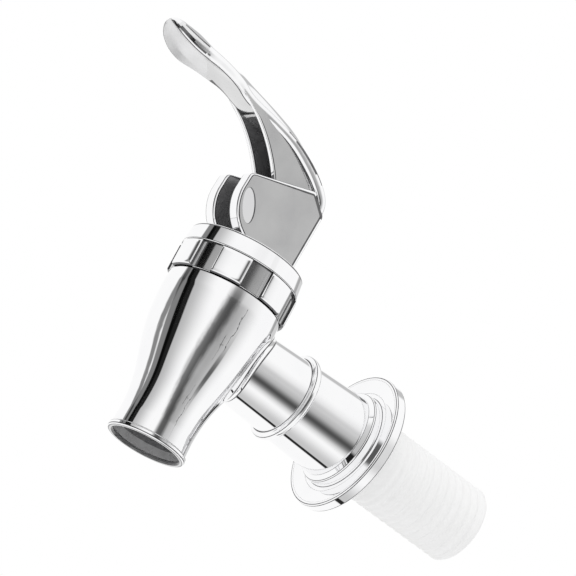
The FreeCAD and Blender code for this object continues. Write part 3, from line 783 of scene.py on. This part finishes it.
def arcThrough(a, m, b, count):  # points of the circle through three points, without the first
    ax, ay, bx, by, mx, my = a[0], a[1], b[0], b[1], m[0], m[1]
    aSquare, bSquare, mSquare = ax ** 2 + ay ** 2, bx ** 2 + by ** 2, mx ** 2 + my ** 2
    d = 2 * (ax * (my - by) + mx * (by - ay) + bx * (ay - my))
    ux = (aSquare * (my - by) + mSquare * (by - ay) + bSquare * (ay - my)) / d
    uy = (aSquare * (bx - mx) + mSquare * (ax - bx) + bSquare * (mx - ax)) / d
    radius = math.hypot(ax - ux, ay - uy)
    start = math.atan2(ay - uy, ax - ux)
    sweep = (math.atan2(by - uy, bx - ux) - start + math.pi) % (2 * math.pi) - math.pi
    angles = [start + sweep * step / count for step in range(1, count + 1)]
    return [(ux + radius * math.cos(angle), uy + radius * math.sin(angle)) for angle in angles]


def gussetOutline():  # with the share of the rim's width at each of its points
    v = lever
    spine = []
    for step in range(v["spineRows"] * v["spineSteps"] + 1):
        _, middle, out = handleFrame(step / v["spineSteps"])
        point = middle - out * v["spineDrop"]
        spine.append((point.y, point.z))
    tip, foot = spot(v["tipForward"], v["tipUp"]), spot(v["rootForward"], v["rootUp"])
    front = [tip] + arcThrough(tip, spot(v["midForward"], v["midUp"]), foot, v["archSteps"])
    low = v["rootUp"] - v["sunkDepth"]
    sunk = [spot(v["rootForward"], low), spot(v["sunkIn"] - v["rear"], low)]
    shares = [0] * len(spine) + [min(1, k / v["rimFade"]) for k in range(len(front))] + [0] * len(sunk)
    return spine + front + sunk, shares


def gussetWall(side):
    v = lever
    outline, shares = gussetOutline()
    # painted shade on the inner side and a grey painted reflection on the outer side
    wall = slab("gussetWall", outline, v["slotHalf"], v["gussetHalfRear"], v["wallRound"], (shaded, greyReflection), shares)
    for vertex in wall.data.vertices:  # walls draw together towards the front
        draw = gussetHalfAt(barrelY - vertex.co.y / mm) - v["gussetHalfRear"]
        outward = (vertex.co.x / mm - v["slotHalf"]) / (v["gussetHalfRear"] - v["slotHalf"])
        vertex.co.x += draw * outward * mm
    if side < 0:
        wall.data.transform(Matrix.Scale(-1, 4, (1, 0, 0)))
        wall.data.flip_normals()
    return wall


def rearWeb():
    v = lever
    front, half = v["webThickness"] - v["rear"], v["slotHalf"] + v["webSunk"]
    outline = [spot(-v["rear"], v["webLift"]), spot(front, v["webLift"]), spot(front, v["rearUp"] + v["webRise"]),
               spot(-v["rearTop"], v["rearUp"])]
    web = slab("rearWeb", outline, -half, half, v["webRound"], (shaded, shaded))
    for face in web.data.polygons:
        face.material_index = shaded if face.normal.y < -0.5 else bright  # the face that looks forward gets painted shade
    return web


def ovalCutter(side):  # for the shallow oval on the outside of an ear
    v = lever
    tilt = math.radians(v["ovalTilt"])
    y, z = spot(v["ovalForward"], v["ovalUp"])
    rings = []
    for height, grow in v["ovalLevels"]:
        ring = []
        for angle in turns(v["ovalSteps"]):
            along, across = (v["ovalLong"] + grow) * math.cos(angle), (v["ovalShort"] + grow) * math.sin(angle)
            ring.append((side * (v["earHalf"] + height), y - math.sin(tilt) * along + math.cos(tilt) * across,
                         z + math.cos(tilt) * along + math.sin(tilt) * across))
        rings.append(ring)
    # the faces that the oval cuts take the painted dark reflection tone, which outlines the oval
    return skin("ovalCutter", rings, False, lambda i, k: darkReflection)


def makeLever():
    thing = makeHandle()
    combine(thing, ears() + [gussetWall(1), gussetWall(-1), rearWeb()])
    combine(thing, [ovalCutter(1), ovalCutter(-1)], "DIFFERENCE")
    smoothen(thing)
    dress(thing, "lever", "lever")


pipe = {
    "around": 144, "perTurn": 16, "radius": 8.0, "length": 29.2, "boreRadius": 4.5, "pitch": 2.0, "depth": 0.42,
    "threadStart": 4.5, "threadFade": 5.0, "endClear": 0.9, "endFade": 0.8, "valleyPower": 1.5,
    "lead": 0.8, "leadDrop": 0.35, "leadBreak": 0.3, "boreBreak": 0.4, "smallBreak": 0.1, "sunk": 0.01,
    "shoulderRadius": 8.7, "shoulder": 1.1, "sleeveRadius": 6.35, "sleeveLength": 28.4, "sharpAngle": 40,
}


def makePipe():
    p = pipe
    small = p["smallBreak"]
    stations = [  # radius, y, and whether the thread cuts in
        (p["sleeveRadius"], -p["sleeveLength"], False), (p["sleeveRadius"], -p["shoulder"], False),
        (p["shoulderRadius"], -p["shoulder"], False), (p["shoulderRadius"], -small, False),
        (p["shoulderRadius"] - small, -p["sunk"], False), (p["radius"], 0, False)]
    rowCount = int(p["length"] / p["pitch"] * p["perTurn"])
    straight = p["length"] - p["lead"]
    stations += [(p["radius"], straight * row / rowCount, True) for row in range(1, rowCount + 1)]
    stations += [
        (p["radius"] - p["leadDrop"], p["length"] - p["leadBreak"], False),
        (p["radius"] - p["lead"], p["length"], False), (p["boreRadius"] + p["boreBreak"], p["length"], False),
        (p["boreRadius"] + small, p["length"] - small, False),
        (p["boreRadius"], p["length"] - p["boreBreak"], False), (p["boreRadius"], -p["sleeveLength"], False)]
    rings = []
    for angle in turns(p["around"]):
        ring = []
        for radius, y, threaded in stations:
            if threaded:
                phase = (y / p["pitch"] + angle / (2 * math.pi)) % 1.0
                valley = 0.5 - 0.5 * math.cos(2 * math.pi * phase)
                fade = min(1.0, max(0.0, (y - p["threadStart"]) / p["threadFade"]))
                endFade = min(1.0, max(0.0, (p["length"] - p["endClear"] - y) / p["endFade"]))
                radius -= p["depth"] * valley ** p["valleyPower"] * fade * endFade
            ring.append(roundShank(radius, angle, y))
        rings.append(ring)
    thing = skin("threadedShank", rings, True, lambda i, k: 0)
    thing.data.materials.clear()
    thing.data.materials.append(finishes["whitePlastic"])
    smoothen(thing, p["sharpAngle"], False)
    dress(thing, "body", "threaded_pipe")


innerPieces = {
    "pipe_oring": "softSeal", "bonnet_gasket": "softSeal", "stem_oring": "softSeal", "seat_plug": "softSeal",
    "guide_bush": "whitePlastic", "stem": "whitePlastic", "spring": "drawnSteel", "lever_pin": "drawnSteel",
}


def dressInner():
    for name, look in innerPieces.items():
        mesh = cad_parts[name].data
        mesh.materials.clear()
        mesh.materials.append(finishes[look])
        mesh.polygons.foreach_set("material_index", [0] * len(mesh.polygons))
    report("inner pieces dressed")


makeBody()
makeBonnet()
makeLever()
makePipe()
dressInner()

studio = {  # levels of light, degrees, and metres
    "plainLevel": 0.93, "rippleScale": 9.0, "flagLean": 0.25, "flagBend": 0.015, "flagMiddle": -88, "lean": 0.3,
    "floorZ": -0.3, "floorSize": 12.0, "floorColour": (0.93, 0.93, 0.93, 1), "floorRough": 0.9,
    "lampPower": 1.6, "lampSize": 0.6, "lampPlace": (0.5, -0.7, 0.9), "lampAim": (0, -0.02, 0.01),
}
ripples = {"wavy": 8, "leaning": 8, "jagged": 16, "torn": 22}  # degrees that the noise moves a panel's borders
# Dark panels round the chrome: the light that each one takes, then the limits of each place where it lies. A band
# has its centre, half width and blur, and a rise or a fall its start and end, in degrees or along an axis.
band, rise, fall = Wire.band, Wire.rise, Wire.fall
besideShank = [("y", band, 0.39, 0.05, 0.07), ("x", rise, 0.1, 0.3)]
panels = {
    "core": (0.985, [("flag", band, -5, 8, 2.5), ("up", band, 7, 26, 5)]),
    "leftGrey": (0.78, [("flag", band, -17, 9, 4), ("up", band, 7, 26, 5)]),
    "rightGrey": (0.5, [("flag", fall, 4, 52), ("flag", rise, 2, 5), ("up", band, 0, 30, 10)]),
    "thinLeft": (0.75, [("wavy", band, -125, 4, 5), ("up", band, 4, 14, 8)]),
    "middleDark": (0.8, [("leaning", band, -16.2, 4, 15), ("up", band, -1, 20, 14)]),
    "wide": (0.6, [("around", rise, -30, -10), ("around", fall, 0, 58), ("up", band, -2, 14, 22)],
             [("over", rise, -55, -28), ("over", fall, -20, 50)] + besideShank),
    "crackRight": (0.93, [("jagged", band, 20, 0.3, 0.8), ("up", band, 6, 10, 3)]),
    "crackLow": (0.93, [("torn", band, 10, 0.3, 0.8), ("up", band, -6, 6, 3)]),
    "shankDark": (0.8, [("over", band, -22, 0, 20)] + besideShank),
    "shankLow": (0.42, [("over", rise, -112, -96), ("over", fall, -92, -50), ("y", band, 0.42, 0.08, 0.1)]),
    "lowLine": (0.97, [("over", band, -102.5, 3, 2), ("y", rise, 0.15, 0.3)]),
    "backGrey": (0.45, [("over", band, 124, 7, 9), ("y", rise, 0.2, 0.35)]),
    "sideGrey": (0.35, [("around", band, 118, 12, 10), ("up", band, 12, 8, 8)]),
}


def limitMask(measures, limits):  # 1 within all the limits
    mask = 1.0
    for name, shape, *numbers in limits:
        mask = mask * shape(measures[name], *numbers)
    return mask


def makeWorld():  # plain white for the eye and for matt surfaces, and panels and flags round the chrome
    world = bpy.data.worlds.new("studioWorld")
    bpy.context.scene.world = world
    world.use_nodes = True
    world.node_tree.nodes.clear()
    wire = Wire(world.node_tree)
    way = wire.node("ShaderNodeTexCoord", output="Generated")
    x = wire.node("ShaderNodeSeparateXYZ", {}, {"Vector": way})
    y, z = x.other("Y"), x.other("Z")
    degrees = 180 / math.pi
    around = wire.maths("ARCTAN2", y, x) * degrees  # round the barrel, 0 along +X
    over = wire.maths("ARCTAN2", z, x) * degrees  # round the shank, 0 along +X
    up = wire.maths("ARCSINE", z) * degrees
    ripple = noise(wire, way, studio["rippleScale"], 2.0) - 0.5
    measures = {"x": x, "y": y, "around": around, "over": over, "up": up}
    # the flag leans and bends as it rises
    measures["flag"] = around - studio["flagMiddle"] + studio["flagLean"] * up + studio["flagBend"] * up * up
    for name, amount in ripples.items():
        measures[name] = around + amount * ripple
    measures["leaning"] = measures["leaning"] - studio["lean"] * up
    level = 1.0
    for depth, *places in panels.values():
        masks = [limitMask(measures, limits) for limits in places]
        mask = wire.maths("MAXIMUM", *masks) if len(masks) == 2 else masks[0]
        level = level * (1 - depth * mask)
    direct = wire.node("ShaderNodeLightPath", output="Is Camera Ray")
    shown = direct.other("Is Glossy Ray") * (level - studio["plainLevel"]) + studio["plainLevel"]
    shown = shown + direct * (1 - shown)
    colour = wire.node("ShaderNodeCombineColor", {}, {"Red": shown, "Green": shown, "Blue": shown})
    background = wire.node("ShaderNodeBackground", {}, {"Color": colour, "Strength": 1.0})
    wire.node("ShaderNodeOutputWorld", {}, {"Surface": background})


def makeFloor():
    half, z = studio["floorSize"] / 2, studio["floorZ"]
    mesh = bpy.data.meshes.new("floor")
    mesh.from_pydata([(-half, -half, z), (half, -half, z), (half, half, z), (-half, half, z)], [], [(0, 1, 2, 3)])
    floor = bpy.data.objects.new("floor", mesh)
    bpy.context.scene.collection.objects.link(floor)
    material, wire = newMaterial("paleFloor")
    finishMaterial(material, wire, {"Base Color": studio["floorColour"], "Roughness": studio["floorRough"]})
    floor.data.materials.append(material)
    floor.visible_glossy = False  # the chrome shows the plain surroundings instead


def makeLamp():
    data = bpy.data.lights.new("softLamp", "AREA")
    data.energy = studio["lampPower"]
    data.size = studio["lampSize"]
    lamp = bpy.data.objects.new("softLamp", data)
    lamp.location = studio["lampPlace"]
    aim = Vector(studio["lampAim"]) - lamp.location
    lamp.rotation_euler = aim.to_track_quat("-Z", "Y").to_euler()
    lamp.visible_glossy = False
    bpy.context.scene.collection.objects.link(lamp)


view = {  # fitted to the photo: degrees, millimetres, and pixels for a millimetre
    "azimuth": 61.6761, "elevation": -17.2709, "roll": 28.1362, "distance": 700.0, "scale": 5.3597,
    "target": (0.0, -28.1067, 17.5965), "imageSize": 576, "sensor": 36.0,
}


def makeCamera():
    azimuth, elevation, roll = (math.radians(view[k]) for k in ("azimuth", "elevation", "roll"))
    aside = math.cos(elevation)
    back = Vector((math.sin(azimuth) * aside, -math.cos(azimuth) * aside, math.sin(elevation)))
    level = (-back).cross(Vector((0, 0, 1))).normalized()
    upright = level.cross(-back)
    right = level * math.cos(roll) + upright * math.sin(roll)
    top = upright * math.cos(roll) - level * math.sin(roll)
    data = bpy.data.cameras.new("photoCamera")
    data.sensor_width = view["sensor"]
    data.lens = view["sensor"] * view["scale"] * view["distance"] / view["imageSize"]
    camera = bpy.data.objects.new("photoCamera", data)
    turned = Matrix((right, top, back)).transposed().to_4x4()
    camera.matrix_world = Matrix.Translation((Vector(view["target"]) + back * view["distance"]) * mm) @ turned
    bpy.context.scene.collection.objects.link(camera)
    bpy.context.scene.camera = camera
    bpy.context.scene.view_settings.view_transform = "Standard"


makeWorld()
makeFloor()
makeLamp()
makeCamera()
report("studio made")
